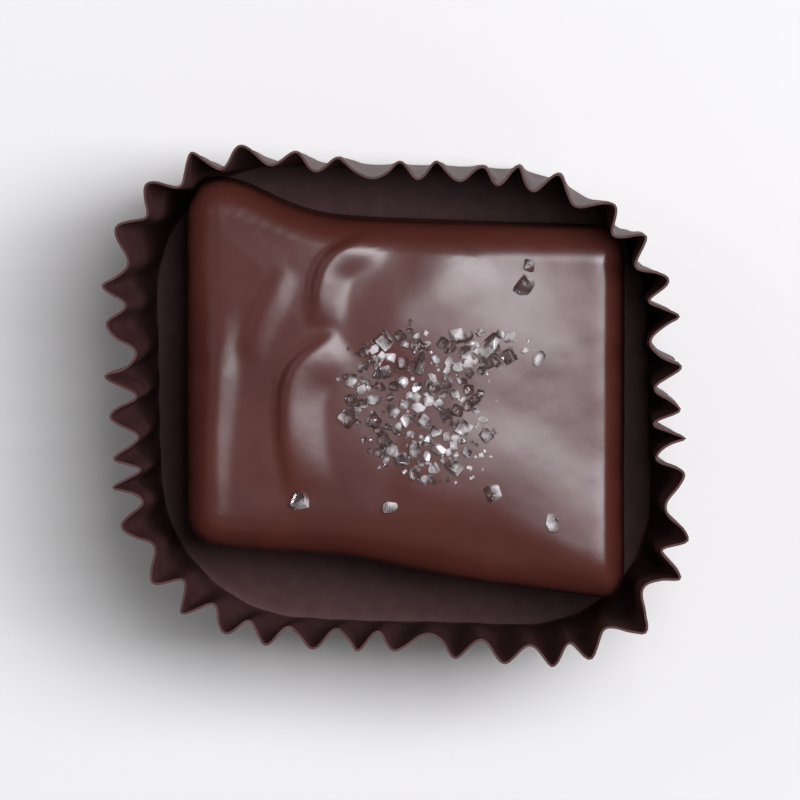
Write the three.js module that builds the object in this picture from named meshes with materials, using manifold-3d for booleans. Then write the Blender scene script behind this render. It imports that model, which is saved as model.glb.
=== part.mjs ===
// A salted caramel in dark chocolate, sitting in its fluted paper cup.
// Millimetres, +Z up. The origin is on the surface that the cup stands on,
// under the middle of the cup's rim. +Y is away from the person who looks down on it.

import * as THREE from 'three';
import { mergeVertices } from 'three/addons/utils/BufferGeometryUtils.js';
import Module from 'manifold-3d';

// The paper cup. Half sizes are those of the wall's middle line. A squareness of 2
// is an oval, and a higher one comes closer to a rectangle. The slanted piece pulls
// two opposite corners out, at the far left and the near right.
const PAPER = 0.24;
const WALL_LENGTH = 19;
const FLOOR = { halfX: 15.3, halfY: 14.2, squareness: 3.1, pull: 1.1 };
const RIM = { halfX: 16.4, halfY: 14.2, squareness: 3.4, pull: 2.0 };
const PULLED_CORNERS = { angle: 2.36, sharpness: 8 };

// Its flutes: how far a fold stands off the wall's middle line at the rim, how much
// more it does so at the two ends than at the two sides, and how uneven the folds are.
const FLUTES = 40;
const COLUMNS_A_FLUTE = 6;
const FLUTE_REACH = 0.84;
const REACH_AT_ENDS = 0.14;
const REACH_GROWTH = 0.66;
const REACH_UNEVENNESS = 0.25;
const FLUTE_LEAN = 0.5;
const FLUTE_SEED = 11;
const WALL_LEVELS = [0, 0.1, 0.36, 0.68, 1];

// The coated caramel: a cut block whose chocolate rounds its edges, bulges at its
// sides and spreads into a thin foot.
const PIECE_CENTRE = { x: 0.4, y: 0.75 };
const PIECE_HEIGHT = 15;
const HALF_LENGTH = 13.45;
const HALF_WIDTH = 11.1;
const TOP_EDGE_RADIUS = 1.8;
const FOOT_EDGE_RADIUS = 0.7;
const CORNER_RADIUS = { top: 1.8, foot: 3.6 };
const CROWN = 0.55;
const SIDE_BULGE = 0.35;
const FOOT_INSET = 0.55;
const FOOT_SPREAD = { reach: 0.45, height: 1.3 };
const BLOCK_CELLS = { along: 42, across: 35, up: 17 };
const SPARE_FACE_TOLERANCE = 0.02;

// How its four sides run, seen from above. They are measured from the middle of the
// piece, and places on them as shares from -1 to 1. Both long sides slant down to the
// right; the far one flares out at its left corner, and the near one is drawn in.
const LEFT_END = { at: -HALF_LENGTH, slant: 0.12, bow: 0 };
const RIGHT_END = { at: HALF_LENGTH, slant: -0.18, bow: 0.15 };
const FAR_SIDE = { at: 10.5, slant: -0.45, swell: 2.2, swellAt: -0.85, spread: 0.3 };
const NEAR_SIDE = { at: -11.25, slant: -1.75, swell: 0.5, swellAt: -0.28, spread: 0.35 };

// The ripples that the dipping left in the top, as raised or sunk lines through places
// measured from the middle of the piece. They fade towards their ends. Each is narrow
// and steep on the left of its run, and wider and gentler on the right.
const RIPPLE_POINTS = 36;
const RIPPLES = [
  { height: 0.15, steep: 1.2, gentle: 1.6, through: [[-12, -8], [-11.9, -3.8], [-11.4, 1], [-11, 7]] },
  { height: 0.34, steep: 0.6, gentle: 2, through: [[-5.3, 3.8], [-5.2, 6.4], [-4.3, 8.2], [-1.5, 9.6]] },
  { height: 0.42, steep: 0.7, gentle: 2.6, through: [[-6.4, -6.5], [-7.2, -2.3], [-6.7, 1.3], [-3.9, 3.5]] },
  { height: 0.1, steep: 0.9, gentle: 1.3, through: [[-9.6, 1.9], [-8.4, 4.9], [-7, 7.6]] },
  { height: 0.17, steep: 3.2, gentle: 3.6, through: [[-1.6, 1.5], [-0.1, 4.4], [1.9, 6.8], [4.2, 9]] },
  { height: 0.2, steep: 2.6, gentle: 6, through: [[15, -11.6], [10, -9.2], [4.5, -6.4], [-1, -5.2]] },
  { height: -0.4, steep: 3.8, gentle: 3.8, through: [[-12, -10.6], [-4, -10.9], [4, -11.6], [15, -14.6]] },
  { height: -0.32, steep: 5, gentle: 5, through: [[-15.5, 1], [-15.2, 7], [-13.5, 12], [-8, 14.5]] },
];

// The salt: coarse white grains pressed into the soft chocolate, in a patch with an arm
// on its far right, and some that fell beside it, each as its place from the middle of
// the piece and its size.
const SALT_SEED = 20;
const SALT_IN_PATCH = 110;
const SALT_SIZES = { largest: 0.9, smallest: 0.38, fall: 0.55 };
const SALT_PATCH = { x: 0.9, y: -0.8, halfLong: 4.9, halfShort: 3.9, turn: -0.95 };
const SALT_ARM = { x: 4.5, y: 2.4, halfLong: 2.9, halfShort: 1.2, turn: 0.1 };
const SALT_ARM_SHARE = 0.2;
const SALT_CROWDING = 0.6;
const SALT_GAP = 0.9;
const SALT_TRIES = 4000;
const SALT_LIFT = 0.16;
const SALT_TILT = 0.35;
const SALT_SHAPE = { long: [0.8, 1.15], wide: [0.62, 0.92], high: [0.55, 0.75], worn: [0.72, 1] };
const STRAY_SALT = [
  [-1.1, 3.1, 0.9], [3.3, 3.4, 0.95], [5.2, 2.8, 1.3], [7.3, 6.4, 1.0], [7.6, 7.6, 0.7],
  [8.2, 2.0, 0.8], [-6.3, -6.6, 0.95], [5.4, -6.05, 0.95], [9.0, -7.95, 0.95],
  [3.1, -4.5, 0.85], [-3.4, -1.55, 1.0], [-0.8, -7.0, 0.8],
];

// Random numbers between 0 and 1 that come out the same on every run: the common
// linear congruential rule on 32 bits.
const RANDOM_FACTOR = 1664525;
const RANDOM_STEP = 1013904223;
const RANDOM_RANGE = 2 ** 32;

function seededNumbers(seed) {
  let state = seed;
  return () => {
    state = (Math.imul(state, RANDOM_FACTOR) + RANDOM_STEP) >>> 0;
    return state / RANDOM_RANGE;
  };
}

const mix = THREE.MathUtils.lerp;
const bell = (distance) => (distance < 1 ? (1 - distance ** 2) ** 2 : 0);

// The closed line that the paper wall follows at one height.
const LINE_DIVISIONS = 720;

class SquaredOval extends THREE.Curve {
  constructor({ halfX, halfY, squareness, pull }) {
    super();
    Object.assign(this, { halfX, halfY, squareness, pull });
    this.arcLengthDivisions = LINE_DIVISIONS;
  }

  getPoint(t, target = new THREE.Vector2()) {
    const angle = 2 * Math.PI * t;
    const across = Math.abs(Math.cos(angle) / this.halfX) ** this.squareness;
    const along = Math.abs(Math.sin(angle) / this.halfY) ** this.squareness;
    const atCorner = Math.cos(angle - PULLED_CORNERS.angle) ** PULLED_CORNERS.sharpness;
    const reach = (across + along) ** (-1 / this.squareness) + this.pull * atCorner;
    return target.set(reach * Math.cos(angle), reach * Math.sin(angle));
  }
}

// One skin through a stack of rings of equal count, closed by a fan at both ends.
function skinThroughRings(firstCentre, rings, lastCentre) {
  const count = rings[0].length;
  const points = [firstCentre, ...rings.flat(), lastCentre];
  const faces = [];
  for (let k = 0; k < count; k += 1) {
    const next = (k + 1) % count;
    faces.push(0, 1 + next, 1 + k);
    for (let ring = 0; ring < rings.length - 1; ring += 1) {
      const below = 1 + ring * count;
      const above = below + count;
      faces.push(below + k, below + next, above + next);
      faces.push(below + k, above + next, above + k);
    }
    const top = 1 + (rings.length - 1) * count;
    faces.push(top + k, top + next, points.length - 1);
  }
  const geometry = new THREE.BufferGeometry().setFromPoints(points);
  geometry.setIndex(faces);
  return geometry;
}

// The fluted wall's middle line at one share of its height, as points with their heights.
function fluteRing(share, floorLine, rimLine, folds) {
  const ring = [];
  for (let k = 0; k < FLUTES * COLUMNS_A_FLUTE; k += 1) {
    const fold = Math.floor(k / COLUMNS_A_FLUTE);
    const phase = (k % COLUMNS_A_FLUTE) / COLUMNS_A_FLUTE;
    const here = folds[fold];
    const following = folds[(fold + 1) % FLUTES];
    const lean = share * mix(here.lean, following.lean, phase);
    const around = (fold + phase + lean) / FLUTES;
    const turn = around - Math.floor(around);
    const foot = floorLine.getPointAt(turn);
    const lip = rimLine.getPointAt(turn);
    const tangent = rimLine.getTangentAt(turn);
    const outward = new THREE.Vector2(tangent.y, -tangent.x);
    const endOrSide = REACH_AT_ENDS * Math.cos(2 * lip.angle());
    const depth = mix(here.depth, following.depth, phase) * (FLUTE_REACH + endOrSide);
    const wave = depth * share ** REACH_GROWTH * Math.cos(2 * Math.PI * phase);
    const flare = lip.distanceTo(foot);
    const height = share * Math.sqrt(WALL_LENGTH ** 2 - flare ** 2);
    const place = foot.clone().lerp(lip, share).addScaledVector(outward, wave);
    ring.push(new THREE.Vector3(place.x, place.y, height));
  }
  return ring;
}

// A ring moved sideways by a distance, square to its own line.
function offsetRing(ring, distance, lowest) {
  return ring.map((point, k) => {
    const before = ring[(k + ring.length - 1) % ring.length];
    const after = ring[(k + 1) % ring.length];
    const outward = new THREE.Vector2(after.y - before.y, before.x - after.x).setLength(distance);
    return new THREE.Vector3(point.x + outward.x, point.y + outward.y, Math.max(point.z, lowest));
  });
}

// The cup was one flat round of paper: its middle stays flat as the floor, and the
// paper round it is pressed up into flutes, which are deepest at the rim.
function paperCup() {
  const random = seededNumbers(FLUTE_SEED);
  const folds = Array.from({ length: FLUTES }, () => ({
    depth: 1 + REACH_UNEVENNESS * (2 * random() - 1),
    lean: FLUTE_LEAN * (random() - 0.5),
  }));
  const floorLine = new SquaredOval(FLOOR);
  const rimLine = new SquaredOval(RIM);
  const middle = WALL_LEVELS.map((share) => fluteRing(share, floorLine, rimLine, folds));
  const outside = middle.map((ring) => offsetRing(ring, PAPER / 2, 0));
  const inside = middle.map((ring) => offsetRing(ring, -PAPER / 2, PAPER)).reverse();
  const under = new THREE.Vector3(0, 0, 0);
  const over = new THREE.Vector3(0, 0, PAPER);
  return skinThroughRings(under, [...outside, ...inside], over);
}

// Where a point of the unit square lies on the piece: u runs from -1 at the left end to
// 1 at the right one, and v from -1 at the near side to 1 at the far one.
const endAt = (end, v) => end.at + end.slant * v + end.bow * (1 - v ** 2);
const swell = (side, u) => side.swell * Math.exp(-(((u - side.swellAt) / side.spread) ** 2));
const sideAt = (side, u) => side.at + side.slant * u + swell(side, u);

function placeOnPiece(u, v) {
  const x = mix(endAt(LEFT_END, v), endAt(RIGHT_END, v), (u + 1) / 2);
  const y = mix(sideAt(NEAR_SIDE, u), sideAt(FAR_SIDE, u), (v + 1) / 2);
  return { x, y };
}

// Bends a square corner round: both lengths are measured in from the corner's two sides.
function roundOver(first, second, radius) {
  if (first >= radius || second >= radius) {
    return [first, second];
  }
  const shrink = radius / Math.hypot(radius - first, radius - second);
  return [radius - (radius - first) * shrink, radius - (radius - second) * shrink];
}

// How far the chocolate's side stands back, at a height above its underside, from
// its widest line half way up.
function sideReach(height) {
  const share = height / PIECE_HEIGHT;
  const foot = FOOT_SPREAD.reach * bell(height / FOOT_SPREAD.height);
  return SIDE_BULGE * (Math.sin(Math.PI * share) - 1) - FOOT_INSET * (1 - share) ** 2 + foot;
}

// Height of one ripple over a place on the top.
function rippleHeight(ripple, x, y) {
  const line = ripple.line;
  const place = new THREE.Vector2(x, y);
  const last = line.length - 1;
  let nearest = 0;
  line.forEach((point, k) => {
    if (point.distanceTo(place) < line[nearest].distanceTo(place)) {
      nearest = k;
    }
  });
  const run = line[Math.min(nearest + 1, last)].clone().sub(line[Math.max(nearest - 1, 0)]);
  const offset = place.sub(line[nearest]);
  const halfWidth = run.cross(offset) > 0 ? ripple.steep : ripple.gentle;
  const fromMiddle = 2 * nearest / last - 1;
  return ripple.height * bell(fromMiddle ** 2) * bell(offset.length() / halfWidth);
}

const ripples = RIPPLES.map((ripple) => ({
  ...ripple,
  line: new THREE.SplineCurve(ripple.through.map((place) => new THREE.Vector2(...place)))
    .getSpacedPoints(RIPPLE_POINTS),
}));

function reliefAt(x, y) {
  return ripples.reduce((sum, ripple) => sum + rippleHeight(ripple, x, y), 0);
}

// Moves a point of a block of cells, from -1 to 1 each way, onto the coated piece.
function coatedPoint(cell) {
  const edge = Math.max(Math.abs(cell.x), Math.abs(cell.y));
  const boxHeight = (cell.z + 1) / 2 * PIECE_HEIGHT;
  const halfSize = Math.abs(cell.x) > Math.abs(cell.y) ? HALF_LENGTH : HALF_WIDTH;
  const inward = (1 - edge) * halfSize;
  const [inTop, down] = roundOver(inward, PIECE_HEIGHT - boxHeight, TOP_EDGE_RADIUS);
  const [inFoot, up] = roundOver(inward, boxHeight, FOOT_EDGE_RADIUS);
  const inset = cell.z > 0 ? inTop : inFoot;
  const height = cell.z > 0 ? PIECE_HEIGHT - down : up;
  const size = 1 - (inset - sideReach(height)) / halfSize;

  const radius = mix(CORNER_RADIUS.foot, CORNER_RADIUS.top, height / PIECE_HEIGHT);
  const toSide = edge > 0 ? 1 / edge : 0;
  const fromEnd = HALF_LENGTH * (1 - Math.abs(cell.x) * toSide);
  const fromFlank = HALF_WIDTH * (1 - Math.abs(cell.y) * toSide);
  const [inX, inY] = roundOver(fromEnd, fromFlank, radius);
  const u = Math.sign(cell.x) * (1 - inX / HALF_LENGTH) * size * (edge > 0 ? 1 : 0);
  const v = Math.sign(cell.y) * (1 - inY / HALF_WIDTH) * size * (edge > 0 ? 1 : 0);

  const { x, y } = placeOnPiece(u, v);
  const onTop = THREE.MathUtils.smoothstep(height, PIECE_HEIGHT - TOP_EDGE_RADIUS, PIECE_HEIGHT);
  const crown = CROWN * Math.max(0, 1 - u ** 2) * Math.max(0, 1 - v ** 2);
  return new THREE.Vector3(x, y, height + onTop * (crown + reliefAt(x, y)));
}

function coatedBlock() {
  const block = new THREE.BoxGeometry(
    2, 2, 2, BLOCK_CELLS.along, BLOCK_CELLS.across, BLOCK_CELLS.up,
  );
  const places = block.attributes.position;
  const point = new THREE.Vector3();
  for (let k = 0; k < places.count; k += 1) {
    const moved = coatedPoint(point.fromBufferAttribute(places, k));
    places.setXYZ(k, moved.x, moved.y, moved.z);
  }
  return block;
}

// Height of the top over a place on it.
function topHeight(x, y) {
  const u = x / HALF_LENGTH;
  const v = y / HALF_WIDTH;
  return PIECE_HEIGHT + CROWN * (1 - u ** 2) * (1 - v ** 2) + reliefAt(x, y);
}

// Where the salt lies: the largest grains take their places first, none on another.
function saltPlaces(random) {
  const places = STRAY_SALT.map(([x, y, size]) => ({ x, y, size }));
  const wanted = places.length + SALT_IN_PATCH;
  for (let tries = 0; places.length < wanted && tries < SALT_TRIES; tries += 1) {
    const share = (places.length - STRAY_SALT.length) / SALT_IN_PATCH;
    const size = mix(SALT_SIZES.largest, SALT_SIZES.smallest, share ** SALT_SIZES.fall);
    const patch = random() < SALT_ARM_SHARE ? SALT_ARM : SALT_PATCH;
    const angle = 2 * Math.PI * random();
    const reach = random() ** SALT_CROWDING;
    const long = patch.halfLong * reach * Math.cos(angle);
    const short = patch.halfShort * reach * Math.sin(angle);
    const x = patch.x + long * Math.cos(patch.turn) - short * Math.sin(patch.turn);
    const y = patch.y + long * Math.sin(patch.turn) + short * Math.cos(patch.turn);
    const clear = places.every((other) => (
      Math.hypot(other.x - x, other.y - y) > SALT_GAP * (other.size + size) / 2
    ));
    if (clear) {
      places.push({ x, y, size });
    }
  }
  return places;
}

// One grain: a crystal that is nearly a cube, with its corners worn unevenly.
function saltGrain(place, random) {
  const { x, y, size } = place;
  const between = ([least, most]) => mix(least, most, random());
  const sides = [SALT_SHAPE.long, SALT_SHAPE.wide, SALT_SHAPE.high].map(between);
  const grain = new THREE.BoxGeometry(...sides.map((side) => side * size));
  grain.deleteAttribute('normal');
  grain.deleteAttribute('uv');
  const crystal = mergeVertices(grain);
  const corners = crystal.attributes.position;
  for (let k = 0; k < corners.count; k += 1) {
    const worn = between(SALT_SHAPE.worn);
    corners.setXYZ(k, corners.getX(k) * worn, corners.getY(k) * worn, corners.getZ(k) * worn);
  }
  crystal.rotateX(between([-SALT_TILT, SALT_TILT]));
  crystal.rotateY(between([-SALT_TILT, SALT_TILT]));
  crystal.rotateZ(between([0, 2 * Math.PI]));
  crystal.translate(x, y, topHeight(x, y) + SALT_LIFT * size);
  return crystal;
}

const MERGE_DISTANCE = 1e-4;
const wasm = await Module();
wasm.setup();

function solidFrom(geometry) {
  geometry.deleteAttribute('normal');
  geometry.deleteAttribute('uv');
  const merged = mergeVertices(geometry, MERGE_DISTANCE);
  return new wasm.Manifold(new wasm.Mesh({
    numProp: 3,
    vertProperties: Float32Array.from(merged.attributes.position.array),
    triVerts: Uint32Array.from(merged.index.array),
  }));
}

function geometryFrom(solid) {
  const mesh = solid.getMesh();
  const geometry = new THREE.BufferGeometry();
  geometry.setAttribute('position', new THREE.BufferAttribute(mesh.vertProperties, 3));
  geometry.setIndex(new THREE.BufferAttribute(mesh.triVerts, 1));
  return geometry;
}

// The caramel, its coating and the salt hold together as one piece.
function saltedCaramel() {
  const random = seededNumbers(SALT_SEED);
  let solid = solidFrom(coatedBlock()).simplify(SPARE_FACE_TOLERANCE);
  const places = saltPlaces(random);
  for (const place of places) {
    solid = solid.add(solidFrom(saltGrain(place, random)));
  }
  return geometryFrom(solid);
}

const darkPaper = new THREE.MeshStandardMaterial({ color: '#2e2022', roughness: 0.8, metalness: 0 });
const darkChocolate = new THREE.MeshStandardMaterial({ color: '#4a2822', roughness: 0.38, metalness: 0 });

const model = new THREE.Group();

const cup = new THREE.Mesh(paperCup(), darkPaper);
cup.name = 'paper_cup';
model.add(cup);

const caramel = new THREE.Mesh(saltedCaramel(), darkChocolate);
caramel.name = 'coated_caramel';
caramel.position.set(PIECE_CENTRE.x, PIECE_CENTRE.y, PAPER);
model.add(caramel);

export default model;
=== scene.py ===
import math

import bmesh
import bpy
from mathutils import Euler, Matrix, Vector


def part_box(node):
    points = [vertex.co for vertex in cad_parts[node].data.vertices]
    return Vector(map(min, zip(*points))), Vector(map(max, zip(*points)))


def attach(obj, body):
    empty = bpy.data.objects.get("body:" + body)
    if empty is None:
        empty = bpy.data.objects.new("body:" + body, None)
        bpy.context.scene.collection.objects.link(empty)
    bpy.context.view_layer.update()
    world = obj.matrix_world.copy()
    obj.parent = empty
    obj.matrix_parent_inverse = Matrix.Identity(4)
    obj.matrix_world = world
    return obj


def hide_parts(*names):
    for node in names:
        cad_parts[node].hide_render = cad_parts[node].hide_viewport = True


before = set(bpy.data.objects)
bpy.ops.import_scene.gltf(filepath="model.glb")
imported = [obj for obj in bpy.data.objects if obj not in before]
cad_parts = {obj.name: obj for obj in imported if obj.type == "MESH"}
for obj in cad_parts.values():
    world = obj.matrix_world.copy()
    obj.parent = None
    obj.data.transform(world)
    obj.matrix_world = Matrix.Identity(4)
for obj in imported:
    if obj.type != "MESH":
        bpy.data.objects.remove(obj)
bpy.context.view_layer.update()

MM = 0.001


# The paper cup.
# A round of dark brown greaseproof paper, pressed over a former: its middle stays flat
# as the floor and the rest stands up in flutes, deepest at the cut rim. The slanted
# piece inside has pulled the wall out at two opposite corners.

def start_primitive():
    """Back in object mode with nothing selected, ready for a new primitive."""
    if bpy.context.mode != "OBJECT":
        bpy.ops.object.mode_set(mode="OBJECT")
    bpy.ops.object.select_all(action="DESELECT")


def take(piece):
    """In object mode, selects one piece alone and makes it the active one."""
    start_primitive()
    piece.select_set(True)
    bpy.context.view_layer.objects.active = piece


def settle(piece):
    """Puts a piece's place, turn and size into its mesh."""
    take(piece)
    bpy.ops.object.transform_apply(location=True, rotation=True, scale=True)


def edit(piece):
    """Opens a piece in edit mode."""
    take(piece)
    bpy.ops.object.mode_set(mode="EDIT")


def select(piece, kind, wanted):
    """In edit mode, selects the points, edges or faces that wanted() says yes to, and no others."""
    bpy.ops.mesh.select_mode(type=kind)
    bpy.ops.mesh.select_all(action="DESELECT")
    shape = bmesh.from_edit_mesh(piece.data)
    for part in {"VERT": shape.verts, "EDGE": shape.edges, "FACE": shape.faces}[kind]:
        if wanted(part):
            part.select_set(True)
    shape.select_flush_mode()
    bmesh.update_edit_mesh(piece.data)


def pull(move, reach):
    """Moves what is selected, and softly all that lies within reach of it."""
    bpy.ops.transform.translate(
        value=move, use_proportional_edit=True, proportional_edit_falloff="SMOOTH", proportional_size=reach,
    )


def apply_modifier(piece, kind, **settings):
    """Adds a modifier to a piece, sets it up and applies it."""
    take(piece)
    modifier = piece.modifiers.new(kind.lower(), kind)
    for name, value in settings.items():
        setattr(modifier, name, value)
    bpy.ops.object.modifier_apply(modifier=modifier.name)


def paint(piece, name, weight_of):
    """Paints a weight from 0 to 1 on each point of a piece, for a modifier to read."""
    start_primitive()
    group = piece.vertex_groups.new(name=name)
    for point in piece.data.vertices:
        group.add([point.index], weight_of(point), "REPLACE")


def clouds(name, size):
    """Soft clouds of one size, in metres, that a Displace modifier reads."""
    texture = bpy.data.textures.new(name, "CLOUDS")
    texture.noise_scale = size
    texture.noise_depth = 2
    return texture


def seeded_numbers(seed):
    """Random numbers between 0 and 1, the same on every run, by the common congruential rule."""
    state = seed
    while True:
        state = (state * 1664525 + 1013904223) % 2 ** 32
        yield state / 2 ** 32


def mix(first, second, share):
    return first + (second - first) * share


cup_low, cup_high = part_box("paper_cup")
PAPER = 0.14 * MM
FLUTES = 40
POINTS_A_FLUTE = 8
SIDE_POINTS = {"x": 42, "y": 36}          # on the straight stretch of each side of the floor
CORNER_POINTS = 41
FLOOR_HALF = (14.7 * MM, 13.6 * MM)
FLOOR_CORNER = 8.2 * MM
FLOOR_TOP = 0.24 * MM                     # where the caramel rests
SIDE_BOW = 0.6 * MM
MIDDLE_TOUCH = 0.2 * MM                   # how near the middle of a side its middle point lies
FLARE = (16.4 / 15.3, 14.2 / 14.2)        # how much wider the rim is than the floor, along and across
PULLED = {"angle": 2.36, "sharpness": 8, "floor": 1.1 * MM, "rim": 1.05 * MM}
PULLED_REACH = 12 * MM
PULLED_AIM = 0.9998                       # the cosine of how far off its angle a pulled point may lie
WALL_SHARES = (0.03, 0.1, 0.2, 0.34, 0.5, 0.67, 0.84, 1.0)
FLOOR_RINGS = (0.96, 0.9)
FLUTE_REACH = {"sides": 0.7 * MM, "ends": 0.98 * MM}
FLUTE_GROWTH = 0.66
FLUTE_UNEVENNESS = 0.25
FLUTE_LEAN = 0.5
FLUTE_ARCH = 0.3                          # 0 is an even wave, 1 a row of arches that bulge inwards
FLUTE_SEED = 11
CRINKLE = {"size": 3.2 * MM, "depth": 0.5 * MM}

start_primitive()
bpy.ops.mesh.primitive_plane_add(size=2)
paper_cup = bpy.context.object
paper_cup.name = "fluted_paper_cup"
paper_cup.scale = (*FLOOR_HALF, 1)
settle(paper_cup)

# The outline of the floor: a plane with round corners and evenly spaced points.
edit(paper_cup)
bpy.ops.mesh.select_all(action="SELECT")
bpy.ops.mesh.bevel(offset=FLOOR_CORNER, segments=CORNER_POINTS, affect="VERTICES")
bpy.ops.mesh.select_all(action="SELECT")
bpy.ops.mesh.delete(type="ONLY_FACE")
straight = min(FLOOR_HALF) - FLOOR_CORNER
for axis, points in enumerate(SIDE_POINTS.values()):
    select(paper_cup, "EDGE", lambda edge: abs(edge.verts[0].co[axis] - edge.verts[1].co[axis]) > straight)
    bpy.ops.mesh.subdivide(number_cuts=points - 1)

# The sides are bowed out a little, and two opposite corners are pulled.
for x, y in ((1, 0), (-1, 0), (0, 1), (0, -1)):
    middle = Vector((x * FLOOR_HALF[0], y * FLOOR_HALF[1], 0))
    select(paper_cup, "VERT", lambda point: (point.co - middle).length < MIDDLE_TOUCH)
    pull((x * SIDE_BOW, y * SIDE_BOW, 0), FLOOR_HALF[0])
for turn in (PULLED["angle"], PULLED["angle"] - math.pi):
    outward = Vector((math.cos(turn), math.sin(turn), 0))
    select(paper_cup, "VERT", lambda point: point.co.normalized().dot(outward) > PULLED_AIM)
    pull(outward * PULLED["floor"], PULLED_REACH)

# Each point of the outline is numbered, and the rings drawn from it keep the number.
outline = bmesh.from_edit_mesh(paper_cup.data)
column = outline.verts.layers.int.new("column")
in_order = sorted(outline.verts, key=lambda point: math.atan2(point.co.y, point.co.x))
for number, point in enumerate(in_order):
    point[column] = number
bmesh.update_edit_mesh(paper_cup.data)

# The wall is drawn up ring by ring, a little wider each time.
bpy.ops.mesh.select_all(action="SELECT")
bpy.ops.transform.translate(value=(0, 0, PAPER / 2))
wall_height = cup_high.z - PAPER / 2
drawn, wide = 0, (1, 1)
for share in WALL_SHARES:
    wider = [mix(1, flare, share) for flare in FLARE]
    bpy.ops.mesh.extrude_region_move(
        TRANSFORM_OT_translate={"value": (0, 0, (share - drawn) * wall_height)},
    )
    bpy.ops.transform.resize(value=(wider[0] / wide[0], wider[1] / wide[1], 1), center_override=(0, 0, 0))
    drawn, wide = share, wider

# The border of the floor is drawn in from the same outline.
select(paper_cup, "VERT", lambda point: point.co.z < PAPER)
rise = FLOOR_TOP - PAPER
for share in FLOOR_RINGS:
    bpy.ops.mesh.extrude_region_move(TRANSFORM_OT_translate={"value": (0, 0, rise)})
    bpy.ops.transform.resize(value=(share, share, 1), center_override=(0, 0, 0))
    rise = 0
bpy.ops.mesh.select_all(action="SELECT")
bpy.ops.mesh.normals_make_consistent(inside=False)
start_primitive()

# The flutes. Their weights follow the numbered points round the cup and grow with height.
random = seeded_numbers(FLUTE_SEED)
folds = [
    {"depth": 1 + FLUTE_UNEVENNESS * (2 * next(random) - 1), "lean": FLUTE_LEAN * (next(random) - 0.5)}
    for _ in range(FLUTES)
]
columns = [number.value for number in paper_cup.data.attributes["column"].data]


def wall_share(point):
    return min(1, max(0, (point.co.z - PAPER / 2) / wall_height))


def of_fold(point, what):
    """A measure of the folds at a point, blended from one fold to the next."""
    fold = columns[point.index] / POINTS_A_FLUTE
    here, following = (folds[(math.floor(fold) + step) % FLUTES][what] for step in (0, 1))
    return mix(here, following, fold % 1)


def flute_depth(point):
    """How deep the fold at a point is, as a share of the deepest that there can be."""
    share = wall_share(point)
    towards_end = (1 + math.cos(2 * math.atan2(point.co.y, point.co.x))) / 2
    reach = mix(FLUTE_REACH["sides"], FLUTE_REACH["ends"], towards_end) / FLUTE_REACH["ends"]
    uneven = of_fold(point, "depth") / (1 + FLUTE_UNEVENNESS)
    return 0 if share < 0.9 * WALL_SHARES[0] else uneven * reach * share ** FLUTE_GROWTH


def fold_weight(point):
    """How far a fold stands out at a point, from where it comes in furthest."""
    phase = columns[point.index] / POINTS_A_FLUTE + of_fold(point, "lean") * wall_share(point)
    even = math.cos(2 * math.pi * phase)
    arched = 1 - 2 * abs(math.sin(math.pi * phase))
    return flute_depth(point) * (1 + mix(even, arched, FLUTE_ARCH)) / 2


def pulled_weight(point):
    turn = math.atan2(point.co.y, point.co.x)
    return wall_share(point) * math.cos(turn - PULLED["angle"]) ** PULLED["sharpness"]


deepest = FLUTE_REACH["ends"] * (1 + FLUTE_UNEVENNESS)
paint(paper_cup, "pulled", pulled_weight)
paint(paper_cup, "depth", flute_depth)
paint(paper_cup, "fold", fold_weight)
apply_modifier(paper_cup, "DISPLACE", strength=PULLED["rim"], mid_level=0, vertex_group="pulled")
apply_modifier(paper_cup, "DISPLACE", strength=-deepest, mid_level=0, vertex_group="depth")
apply_modifier(paper_cup, "DISPLACE", strength=2 * deepest, mid_level=0, vertex_group="fold")
apply_modifier(paper_cup, "SUBSURF", levels=1, render_levels=1)
apply_modifier(
    paper_cup, "DISPLACE", strength=CRINKLE["depth"], mid_level=0.5, vertex_group="depth",
    texture=clouds("crinkle", CRINKLE["size"]), direction="RGB_TO_XYZ",
)

# The flat middle of the floor is filled in, and the sheet gets its thickness.
edit(paper_cup)
select(paper_cup, "EDGE", lambda edge: edge.is_boundary and edge.verts[0].co.z < 2 * FLOOR_TOP)
bpy.ops.mesh.extrude_region_move()
bpy.ops.mesh.merge(type="CENTER")
apply_modifier(paper_cup, "SOLIDIFY", thickness=PAPER, offset=0, material_offset_rim=1)
take(paper_cup)
bpy.ops.object.shade_smooth_by_angle(angle=math.radians(40))


def colour(hex_value):
    """An sRGB hex colour as linear numbers."""
    parts = [int(hex_value[k:k + 2], 16) / 255 for k in (1, 3, 5)]
    return tuple(c / 12.92 if c <= 0.04045 else ((c + 0.055) / 1.055) ** 2.4 for c in parts) + (1,)


def add_node(material, kind, inputs, **properties):
    """Adds a node to a material: its properties, and its inputs as values or as links."""
    tree = material.node_tree
    made = tree.nodes.new("ShaderNode" + kind)
    for name, value in properties.items():
        setattr(made, name, value)
    for name, value in inputs.items():
        if isinstance(value, bpy.types.NodeSocket):
            tree.links.new(value, made.inputs[name])
        else:
            made.inputs[name].default_value = value
    return made


MIX_A, MIX_B, MIX_RESULT = 6, 7, 2        # the colour sockets of a Mix node


def new_material(name):
    material = bpy.data.materials.new(name)
    material.use_nodes = True
    material.node_tree.nodes.clear()
    return material


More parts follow.
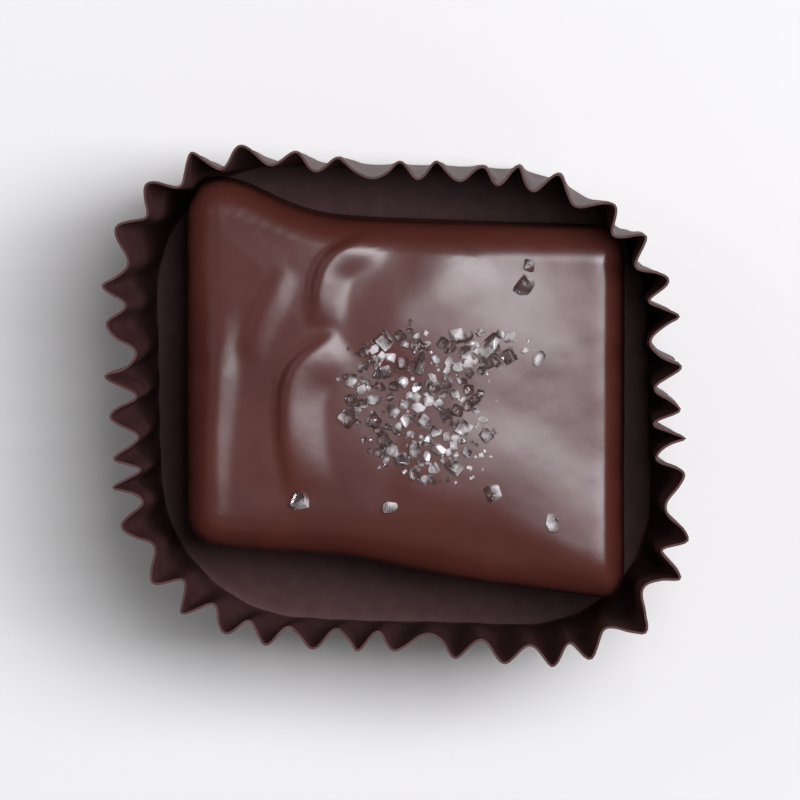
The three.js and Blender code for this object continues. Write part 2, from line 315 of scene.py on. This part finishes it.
# Dyed greaseproof paper, dense and faintly waxy: a soft sheen over a mottled dark brown.
def greaseproof_paper(name, dark, light):
    paper = new_material(name)
    place = add_node(paper, "TexCoord", {}).outputs["Object"]
    fibres = add_node(paper, "TexNoise", {"Vector": place, "Scale": 1 / (0.9 * MM), "Detail": 5.0})
    mottle = add_node(paper, "TexNoise", {"Vector": place, "Scale": 1 / (6 * MM), "Detail": 2.0})
    tone = add_node(paper, "Mix", {0: fibres.outputs["Fac"], MIX_A: colour(dark), MIX_B: colour(light)},
                    data_type="RGBA")
    rough = add_node(paper, "MapRange", {"Value": mottle.outputs["Fac"], "To Min": 0.4, "To Max": 0.56})
    bump = add_node(paper, "Bump", {"Height": fibres.outputs["Fac"], "Strength": 0.25, "Distance": 0.04 * MM})
    shader = add_node(paper, "BsdfPrincipled", {
        "Base Color": tone.outputs[MIX_RESULT], "Roughness": rough.outputs["Result"],
        "IOR": 1.5, "Specular IOR Level": 0.14, "Normal": bump.outputs["Normal"],
    })
    add_node(paper, "OutputMaterial", {"Surface": shader.outputs[0]})
    return paper


paper_cup.data.materials.append(greaseproof_paper("dyed_greaseproof_paper", "#472c2b", "#644342"))
# The cut rim is coloured lighter: partly the paper's own paler cut edge, partly a painted highlight where the
# rim catches the light.
paper_cup.data.materials.append(greaseproof_paper("cut_paper_edge_painted_highlight", "#9c8077", "#bca49a"))
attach(paper_cup, "root")
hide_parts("paper_cup")


# The caramel in its coating.
# A cut block of soft caramel, run through dark chocolate: the coating rounds the edges,
# bulges the sides, spreads into a thin foot and sets in ripples on top.

PIECE_CENTRE = Vector((0.4 * MM, 0.75 * MM, FLOOR_TOP))
PIECE_HEIGHT = 15 * MM
HALF_LENGTH = 13.45 * MM
HALF_WIDTH = 11.1 * MM
EDGE_RADIUS = 1.8 * MM
RIGHT_EDGE_SHARE = 0.68
FOOT_RADIUS = 0.7 * MM
CUT_SPACING = 1.05 * MM
CUT_MARGIN = 0.3 * MM                     # between the last cut and the rounded edge
SIDE_LEVELS = (1.3, 2.6, 4.6, 6.8, 9.2, 11.4)
CROWN = 0.55 * MM
CROWN_CENTRE = 4 * MM                     # the part of the top that is raised in full
CROWN_REACH = 10 * MM
SIDE_BULGE = 0.35 * MM
FOOT_INSET = 0.55 * MM
FOOT_SPREAD = {"reach": 0.45 * MM, "height": 1.3 * MM}
FAR_SIDE = {"at": 10.5, "slant": -0.45, "swell": 2.2, "swell_at": -0.85, "spread": 0.3}
NEAR_SIDE = {"at": -11.25, "slant": -1.75, "swell": 0.5, "swell_at": -0.28, "spread": 0.35}
TOUCH = 0.01 * MM                         # closer than this counts as the same place

start_primitive()
bpy.ops.mesh.primitive_cube_add(size=2)
chocolate = bpy.context.object
chocolate.name = "dark_chocolate_coating"
chocolate.scale = (HALF_LENGTH, HALF_WIDTH, PIECE_HEIGHT / 2)
chocolate.location = (0, 0, PIECE_HEIGHT / 2)
settle(chocolate)

# The block is cut across and along between the edges that get rounded.
edit(chocolate)
for axis, half in ((0, HALF_LENGTH), (1, HALF_WIDTH)):
    room = half - EDGE_RADIUS - CUT_MARGIN
    cuts = round(2 * room / CUT_SPACING)
    normal = Vector((axis == 0, axis == 1, 0))
    for k in range(cuts + 1):
        bpy.ops.mesh.select_all(action="SELECT")
        bpy.ops.mesh.bisect(plane_co=normal * mix(-room, room, k / cuts), plane_no=normal)
for level in SIDE_LEVELS:
    bpy.ops.mesh.select_all(action="SELECT")
    bpy.ops.mesh.bisect(plane_co=(0, 0, level * MM), plane_no=(0, 0, 1))


# Upright and upper edges are rounded in one go, so that they meet in round corners.
def on_corner(edge):
    """Upright edges between two sides."""
    return all(
        abs(abs(point.co.x) - HALF_LENGTH) < TOUCH and abs(abs(point.co.y) - HALF_WIDTH) < TOUCH
        for point in edge.verts
    )


def between(edge, first, second):
    """Edges between a face that looks one way and a face that looks the other way."""
    looks = [face.normal for face in edge.link_faces]
    return any(look.dot(Vector(first)) > 0.9 for look in looks) and any(second(look) for look in looks)


select(chocolate, "EDGE", lambda edge: on_corner(edge) or between(edge, (0, 0, 1), lambda look: look.z < 0.1))
bpy.ops.mesh.bevel(offset=EDGE_RADIUS, segments=5, affect="EDGES")
select(chocolate, "EDGE", lambda edge: between(edge, (0, 0, -1), lambda look: look.z > -0.1))
bpy.ops.mesh.bevel(offset=FOOT_RADIUS, segments=3, affect="EDGES")

# The right end is rounded over a shorter way than the other sides.
select(chocolate, "VERT", lambda point: point.co.x > HALF_LENGTH - EDGE_RADIUS - TOUCH)
bpy.ops.transform.resize(value=(RIGHT_EDGE_SHARE, 1, 1), center_override=(HALF_LENGTH, 0, 0))


# Seen from above, the far side flares out at its left corner and the near one slants.
def side_at(side, u):
    swell = side["swell"] * math.exp(-((u - side["swell_at"]) / side["spread"]) ** 2)
    return (side["at"] + side["slant"] * u + swell) * MM


def stations(piece, axis):
    """The places along one axis at which a piece in edit mode has points, counted in touches."""
    return sorted({round(point.co[axis] / TOUCH) for point in bmesh.from_edit_mesh(piece.data).verts})


for station in stations(chocolate, 0):
    near, far = (side_at(side, station * TOUCH / HALF_LENGTH) for side in (NEAR_SIDE, FAR_SIDE))
    select(chocolate, "VERT", lambda point: round(point.co.x / TOUCH) == station)
    bpy.ops.transform.resize(value=(1, (far - near) / (2 * HALF_WIDTH), 1), center_override=(0, 0, 0))
    bpy.ops.transform.translate(value=(0, (far + near) / 2, 0))


# The sides bulge, draw in below and spread again at the foot.
def side_reach(height):
    share = height / PIECE_HEIGHT
    foot = max(0, 1 - (height / FOOT_SPREAD["height"]) ** 2) ** 2
    bulge = SIDE_BULGE * (math.sin(math.pi * share) - 1) - FOOT_INSET * (1 - share) ** 2
    return bulge + FOOT_SPREAD["reach"] * foot


for level in stations(chocolate, 2):
    reach = side_reach(level * TOUCH)
    select(chocolate, "VERT", lambda point: round(point.co.z / TOUCH) == level)
    bpy.ops.transform.resize(
        value=(1 + reach / HALF_LENGTH, 1 + reach / HALF_WIDTH, 1), center_override=(0, 0, 0),
    )

# The top is crowned.
top = PIECE_HEIGHT - TOUCH
select(chocolate, "VERT", lambda point: point.co.z > top and point.co.xy.length < CROWN_CENTRE)
pull((0, 0, CROWN), CROWN_REACH)
apply_modifier(chocolate, "SUBSURF", levels=2, render_levels=2)

# The ripples of the dipping: raised lines through places on the top, seen from above in
# millimetres from its middle. On the left of its run each falls off steeply, like the
# lip of a layer that flowed over the one below, and on the right gently.
RIPPLES = [
    {"height": 0.15, "steep": 1.2, "gentle": 1.6,
     "through": [(-12, -8), (-11.9, -3.8), (-11.4, 1), (-11, 7)]},
    {"height": 0.34, "steep": 0.6, "gentle": 2,
     "through": [(-5.3, 3.8), (-5.2, 6.4), (-4.3, 8.2), (-1.5, 9.6)]},
    {"height": 0.42, "steep": 0.7, "gentle": 2.6,
     "through": [(-6.4, -6.5), (-7.2, -2.3), (-6.7, 1.3), (-3.9, 3.5)]},
    {"height": 0.1, "steep": 0.9, "gentle": 1.3,
     "through": [(-9.6, 1.9), (-8.4, 4.9), (-7, 7.6)]},
    {"height": 0.17, "steep": 3.2, "gentle": 3.6,
     "through": [(-1.6, 1.5), (-0.1, 4.4), (1.9, 6.8), (4.2, 9)]},
    {"height": 0.2, "steep": 2.6, "gentle": 6,
     "through": [(15, -11.6), (10, -9.2), (4.5, -6.4), (-1, -5.2)]},
    {"height": -0.4, "steep": 3.8, "gentle": 3.8,
     "through": [(-12, -10.6), (-4, -10.9), (4, -11.6), (15, -14.6)]},
    {"height": -0.46, "steep": 7, "gentle": 7,
     "through": [(-15.5, 1), (-15.2, 7), (-13.5, 12), (-7, 14.5)]},
]
RIPPLE_STEPS = 24


def curve_through(places, steps):
    """Points along a smooth curve through places, by the Catmull-Rom rule."""
    ends = [places[0], *places, places[-1]]
    line = []
    for before, first, second, after in zip(ends, ends[1:], ends[2:], ends[3:]):
        for k in range(steps):
            t = k / steps
            line.append(Vector([
                0.5 * (2 * b + (c - a) * t + (2 * a - 5 * b + 4 * c - d) * t ** 2
                       + (3 * b - a - 3 * c + d) * t ** 3)
                for a, b, c, d in zip(before, first, second, after)
            ]))
    return line + [Vector(places[-1])]


def bell(distance):
    return max(0, 1 - distance ** 2) ** 2


def ripple_height(ripple, line, place):
    """How high one ripple stands at a place on the top, in millimetres. It fades to its ends."""
    last = len(line) - 1
    nearest = min(range(len(line)), key=lambda k: (line[k] - place).length_squared)
    run = line[min(nearest + 1, last)] - line[max(nearest - 1, 0)]
    offset = place - line[nearest]
    side = "steep" if run.cross(offset) > 0 else "gentle"
    from_middle = 2 * nearest / last - 1
    return ripple["height"] * bell(from_middle ** 2) * bell(offset.length / ripple[side])


lines = [curve_through(ripple["through"], RIPPLE_STEPS) for ripple in RIPPLES]


def relief(point):
    """How high the top stands at a point, in millimetres, and nothing below the rounded edge."""
    on_top = min(1, max(0, (point.co.z - PIECE_HEIGHT + EDGE_RADIUS) / EDGE_RADIUS))
    place = point.co.xy / MM
    return on_top and on_top * sum(
        ripple_height(ripple, line, place) for ripple, line in zip(RIPPLES, lines)
    )


start_primitive()
heights = [relief(point) for point in chocolate.data.vertices]
paint(chocolate, "raised", lambda point: max(0, heights[point.index]))
paint(chocolate, "sunk", lambda point: max(0, -heights[point.index]))
for group, way in (("raised", 1), ("sunk", -1)):
    apply_modifier(chocolate, "DISPLACE", strength=way * MM, mid_level=0, vertex_group=group, direction="Z")
for name, size, depth in (("set_unevenly", 7, 0.08), ("fine_waves", 2.6, 0.03)):
    apply_modifier(chocolate, "DISPLACE", strength=depth * MM, mid_level=0.5, texture=clouds(name, size * MM))
chocolate.location = PIECE_CENTRE
settle(chocolate)
bpy.ops.object.shade_smooth()


# Dark couverture, tempered and set: satin, with a broad sheen over a red-brown body.
def dark_couverture():
    coating = new_material("tempered_dark_couverture")
    place = add_node(coating, "TexCoord", {}).outputs["Object"]
    patches = add_node(coating, "TexNoise", {"Vector": place, "Scale": 1 / (5 * MM), "Detail": 3.0})
    grain = add_node(coating, "TexNoise", {"Vector": place, "Scale": 1 / (0.5 * MM), "Detail": 3.0})
    tone = add_node(coating, "Mix", {
        0: patches.outputs["Fac"], MIX_A: colour("#46211b"), MIX_B: colour("#5f3029"),
    }, data_type="RGBA")
    rough = add_node(coating, "MapRange", {"Value": patches.outputs["Fac"], "To Min": 0.23, "To Max": 0.34})
    bump = add_node(coating, "Bump", {
        "Height": grain.outputs["Fac"], "Strength": 0.15, "Distance": 0.02 * MM,
    })
    shader = add_node(coating, "BsdfPrincipled", {
        "Base Color": tone.outputs[MIX_RESULT], "Roughness": rough.outputs["Result"],
        "IOR": 1.5, "Normal": bump.outputs["Normal"],
    })
    add_node(coating, "OutputMaterial", {"Surface": shader.outputs[0]})
    return coating


chocolate.data.materials.append(dark_couverture())
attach(chocolate, "root")
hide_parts("coated_caramel")


# The salt.
# Coarse sea salt, white to clear: broken and hollow-faced crystals of several shapes,
# sprinkled on while the chocolate was soft, so that each sits a little way in it.

SALT_SEED = 20
SALT_IN_PATCH = 110
SALT_SIZES = {"largest": 0.9, "smallest": 0.38, "fall": 0.55}
SALT_PATCH = {"x": 0.9, "y": -0.8, "half_long": 4.9, "half_short": 3.9, "turn": -0.95}
SALT_ARM = {"x": 4.5, "y": 2.4, "half_long": 2.9, "half_short": 1.2, "turn": 0.1}
SALT_ARM_SHARE = 0.2
SALT_CROWDING = 0.6
SALT_GAP = 0.9
SALT_TRIES = 4000
SALT_LIFT = 0.16
SALT_TILT = 0.5
STRAY_SALT = [
    (-1.1, 3.1, 0.9), (3.3, 3.4, 0.95), (5.2, 2.8, 1.3), (7.3, 6.4, 1.0), (7.6, 7.6, 0.7),
    (8.2, 2.0, 0.8), (-6.3, -6.6, 0.95), (5.4, -6.05, 0.95), (9.0, -7.95, 0.95),
    (3.1, -4.5, 0.85), (-3.4, -1.55, 1.0), (-0.8, -7.0, 0.8),
]
FINE_SALT = {"count": 160, "largest": 0.34, "smallest": 0.16, "spread": 1.15, "lift": 0.2}
CRYSTAL_MERGE = 0.02                      # the crystals are cut at a size of 1 and scaled afterwards
HOPPER_RIM = 0.16


def place_in_patch(random, spread):
    """A place in the patch or its arm, which reach out spread times as far as they are long."""
    patch = SALT_ARM if next(random) < SALT_ARM_SHARE else SALT_PATCH
    angle = 2 * math.pi * next(random)
    reach = spread * next(random) ** SALT_CROWDING
    long = patch["half_long"] * reach * math.cos(angle)
    short = patch["half_short"] * reach * math.sin(angle)
    cosine, sine = math.cos(patch["turn"]), math.sin(patch["turn"])
    return patch["x"] + long * cosine - short * sine, patch["y"] + long * sine + short * cosine


def salt_places(random):
    """Where the grains lie: the largest take their places first, none on another."""
    places = list(STRAY_SALT)
    for _ in range(SALT_TRIES):
        if len(places) == len(STRAY_SALT) + SALT_IN_PATCH:
            break
        share = (len(places) - len(STRAY_SALT)) / SALT_IN_PATCH
        size = mix(SALT_SIZES["largest"], SALT_SIZES["smallest"], share ** SALT_SIZES["fall"])
        x, y = place_in_patch(random, 1)
        if all(math.hypot(a - x, b - y) > SALT_GAP * (other + size) / 2 for a, b, other in places):
            places.append((x, y, size))
    return places


def crystal(name, size, slices):
    """A cube cut down by slanted planes, each as the way it looks and how far out it lies."""
    start_primitive()
    bpy.ops.mesh.primitive_cube_add(size=1)
    made = bpy.context.object
    made.name = name
    made.scale = size
    settle(made)
    edit(made)
    for normal, distance in slices:
        outward = Vector(normal).normalized()
        bpy.ops.mesh.select_all(action="SELECT")
        bpy.ops.mesh.bisect(plane_co=outward * distance, plane_no=outward, use_fill=True, clear_outer=True)
    bpy.ops.mesh.select_all(action="SELECT")
    bpy.ops.mesh.remove_doubles(threshold=CRYSTAL_MERGE)
    return made


def hollow_top(made, depth):
    """Sinks the top face of a crystal in one step, as on a hopper crystal."""
    select(made, "FACE", lambda face: face.normal.z > 0.95)
    bpy.ops.mesh.inset(thickness=HOPPER_RIM)
    bpy.ops.transform.translate(value=(0, 0, -depth))


def round_crystal(made, radius):
    """Takes the sharpness off a crystal's edges."""
    bpy.ops.mesh.select_all(action="SELECT")
    bpy.ops.mesh.normals_make_consistent(inside=False)
    start_primitive()
    apply_modifier(
        made, "BEVEL", width=radius, segments=1, limit_method="ANGLE", angle_limit=math.radians(30),
    )


hopper = crystal("hopper_crystal", (1, 0.88, 0.72), [((1, 1, 0.4), 0.5), ((-1, 0.5, 0.9), 0.5)])
hollow_top(hopper, 0.12)
round_crystal(hopper, 0.045)
chip = crystal("flat_chip", (1.1, 0.8, 0.4), [
    ((1, -0.8, 0.2), 0.42), ((-0.7, 1, 0.3), 0.4), ((0.1, 0.5, 1), 0.2),
])
round_crystal(chip, 0.03)
chunk = crystal("broken_chunk", (0.95, 0.9, 0.85), [
    ((1, 0.7, 0.8), 0.46), ((-1, 0.3, 0.7), 0.42), ((0.2, -1, 0.6), 0.4), ((-0.5, -0.6, 1), 0.44),
])
round_crystal(chunk, 0.05)
CRYSTALS = (hopper, chunk, chip)

random = seeded_numbers(SALT_SEED)
places = [(*place, SALT_LIFT) for place in salt_places(random)]
for _ in range(FINE_SALT["count"]):
    x, y = place_in_patch(random, FINE_SALT["spread"])
    size = mix(FINE_SALT["smallest"], FINE_SALT["largest"], next(random) ** 2)
    places.append((x, y, size, FINE_SALT["lift"]))

grains = []
for number, (x, y, size, lift) in enumerate(places):
    above = PIECE_CENTRE + Vector((x * MM, y * MM, 2 * PIECE_HEIGHT))
    _, surface, normal, _ = chocolate.ray_cast(above, Vector((0, 0, -1)))
    grain = CRYSTALS[number % len(CRYSTALS)].copy()
    grain.data = grain.data.copy()
    bpy.context.scene.collection.objects.link(grain)
    tilt = [SALT_TILT * (2 * next(random) - 1) for _ in range(2)]
    turned = Euler((*tilt, 2 * math.pi * next(random))).to_matrix().to_4x4()
    grain.data.transform(
        Matrix.Translation(surface + normal * lift * size * MM) @ turned @ Matrix.Scale(size * MM, 4)
    )
    grains.append(grain)
take(grains[0])
for grain in grains:
    grain.select_set(True)
bpy.ops.object.join()
salt = bpy.context.object
salt.name = "coarse_salt"
for kind in CRYSTALS:
    bpy.data.objects.remove(kind)


# Sea salt, halite: clear cubic crystals, clouded by tiny brine pockets.
def sea_salt():
    halite = new_material("clouded_halite")
    place = add_node(halite, "TexCoord", {}).outputs["Object"]
    brine = add_node(halite, "TexNoise", {"Vector": place, "Scale": 1 / (1.3 * MM), "Detail": 2.0})
    grit = add_node(halite, "TexNoise", {"Vector": place, "Scale": 1 / (0.3 * MM), "Detail": 3.0})
    tone = add_node(halite, "Mix", {
        0: grit.outputs["Fac"], MIX_A: colour("#ecdcd8"), MIX_B: colour("#ffffff"),
    }, data_type="RGBA")
    clear = add_node(halite, "MapRange", {
        "Value": brine.outputs["Fac"], "From Min": 0.46, "From Max": 0.64, "To Min": 0.97, "To Max": 0.25,
    })
    bump = add_node(halite, "Bump", {"Height": grit.outputs["Fac"], "Strength": 0.2, "Distance": 0.02 * MM})
    shader = add_node(halite, "BsdfPrincipled", {
        "Base Color": tone.outputs[MIX_RESULT], "Roughness": 0.07, "IOR": 1.544,
        "Transmission Weight": clear.outputs["Result"], "Normal": bump.outputs["Normal"],
    })
    add_node(halite, "OutputMaterial", {"Surface": shader.outputs[0]})
    return halite


salt.data.materials.append(sea_salt())
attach(salt, "root")
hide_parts("coated_caramel")


# The place that it is photographed in: a plain pale floor, soft studio light from the
# right and above, and a camera that looks straight down.

FLOOR_SIZE = 3
start_primitive()
bpy.ops.mesh.primitive_plane_add(size=FLOOR_SIZE)
floor = bpy.context.object
floor.name = "pale_floor"
pale = new_material("matte_pale_board")
shader = add_node(pale, "BsdfPrincipled", {"Base Color": colour("#f5f3ef"), "Roughness": 0.8})
add_node(pale, "OutputMaterial", {"Surface": shader.outputs[0]})
floor.data.materials.append(pale)


def facing_from(back):
    """The turn of a light or camera that looks along -back, with +Y up in its picture."""
    back = back.normalized()
    right = Vector((0, 1, 0)).cross(back).normalized()
    return Matrix((right, back.cross(right), back)).transposed().to_euler()


DAYLIGHT = "#f7f8ff"


def softbox(name, turn, elevation, distance, size, power):
    """A soft light that looks at the piece from a turn and an elevation in degrees."""
    light = bpy.data.lights.new(name, "AREA")
    light.color = colour(DAYLIGHT)[:3]
    light.shape = "RECTANGLE"
    light.size, light.size_y = size
    light.energy = power
    placed = bpy.data.objects.new(name, light)
    bpy.context.scene.collection.objects.link(placed)
    across, up = math.radians(turn), math.radians(elevation)
    back = Vector((math.cos(across) * math.cos(up), math.sin(across) * math.cos(up), math.sin(up)))
    placed.location = back * distance
    placed.rotation_euler = facing_from(back)
    return placed


softbox("key_softbox", 24, 68.5, 0.6, (0.385, 0.19), 3.6)
softbox("fill_softbox", 150, 45, 0.9, (0.5, 0.5), 0.5)

world = bpy.data.worlds.new("studio")
bpy.context.scene.world = world
world.use_nodes = True
world.node_tree.nodes["Background"].inputs["Color"].default_value = colour("#f4f6fa")
world.node_tree.nodes["Background"].inputs["Strength"].default_value = 0.18

CAMERA_PLACE = Vector((18.5, 26, 700)) * MM
CUP_SHARE = 0.74                          # of the picture's width
camera = bpy.data.objects.new("camera", bpy.data.cameras.new("camera"))
bpy.context.scene.collection.objects.link(camera)
target = Vector((0, 0, 9 * MM))
camera.location = CAMERA_PLACE
camera.rotation_euler = facing_from(CAMERA_PLACE - target)
cup_width = cup_high.x - cup_low.x
camera.data.lens = camera.data.sensor_width * (CAMERA_PLACE - target).length / (cup_width / CUP_SHARE)
camera.data.clip_end = 10
bpy.context.scene.camera = camera
bpy.context.scene.view_settings.view_transform = "Standard"
